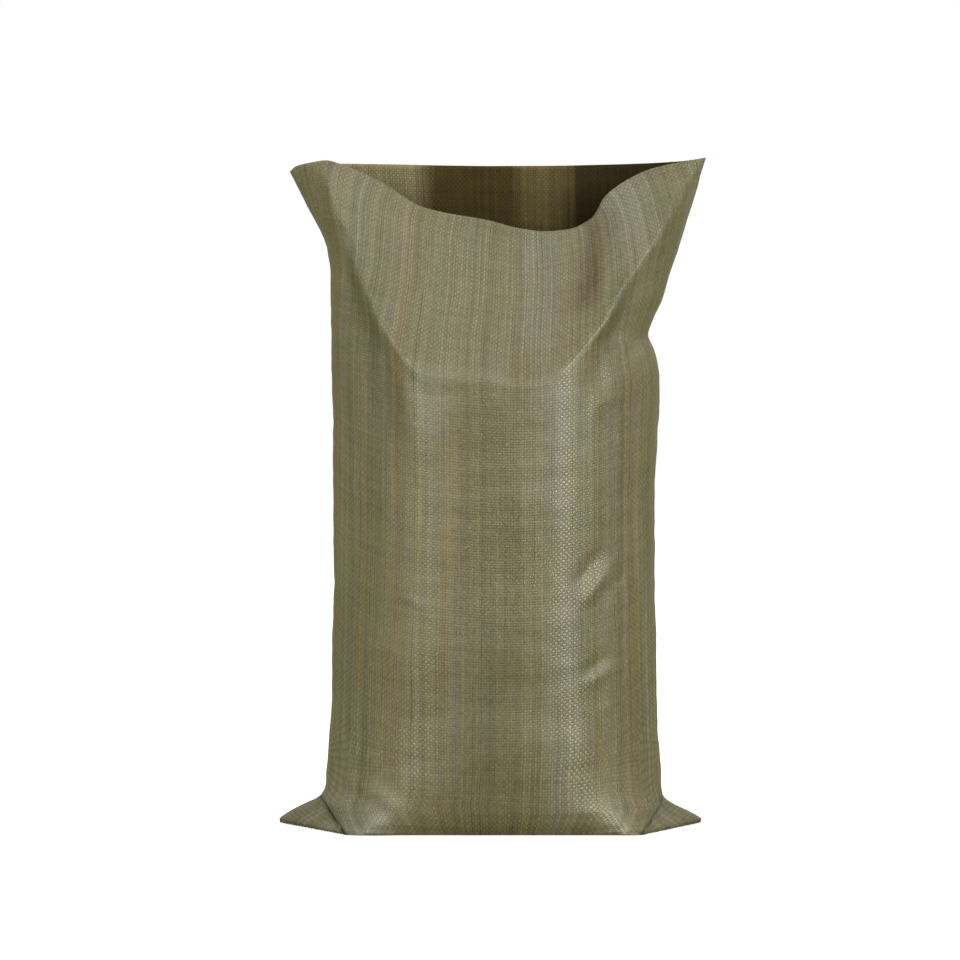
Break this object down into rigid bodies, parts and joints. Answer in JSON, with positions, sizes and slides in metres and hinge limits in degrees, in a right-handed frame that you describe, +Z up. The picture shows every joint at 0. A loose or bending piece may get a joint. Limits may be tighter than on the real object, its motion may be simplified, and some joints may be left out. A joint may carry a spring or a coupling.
{
  "type": "woven polypropylene sack",
  "caption": "Olive woven polypropylene sack with a sewn bottom, standing open and filled with sand, its slack top flared into a lens-shaped mouth.",
  "frame": {"origin": "on the floor under the middle of the base", "axes": "+Z up, +X to the right of the sack seen from its front, -Y out of the front"},
  "size_m": [0.4295, 0.243, 0.668],
  "materials": {
    "woven_polypropylene": "plain weave of flat polypropylene tapes, grey-olive, satin",
    "sewing_thread": "spun off-white sewing thread",
    "sand": "loose dry building sand"
  },
  "bodies": {
    "root": {"sack_fabric": "woven_polypropylene", "bottom_stitching": "sewing_thread", "sand_fill": "sand"}
  },
  "joints": []
}
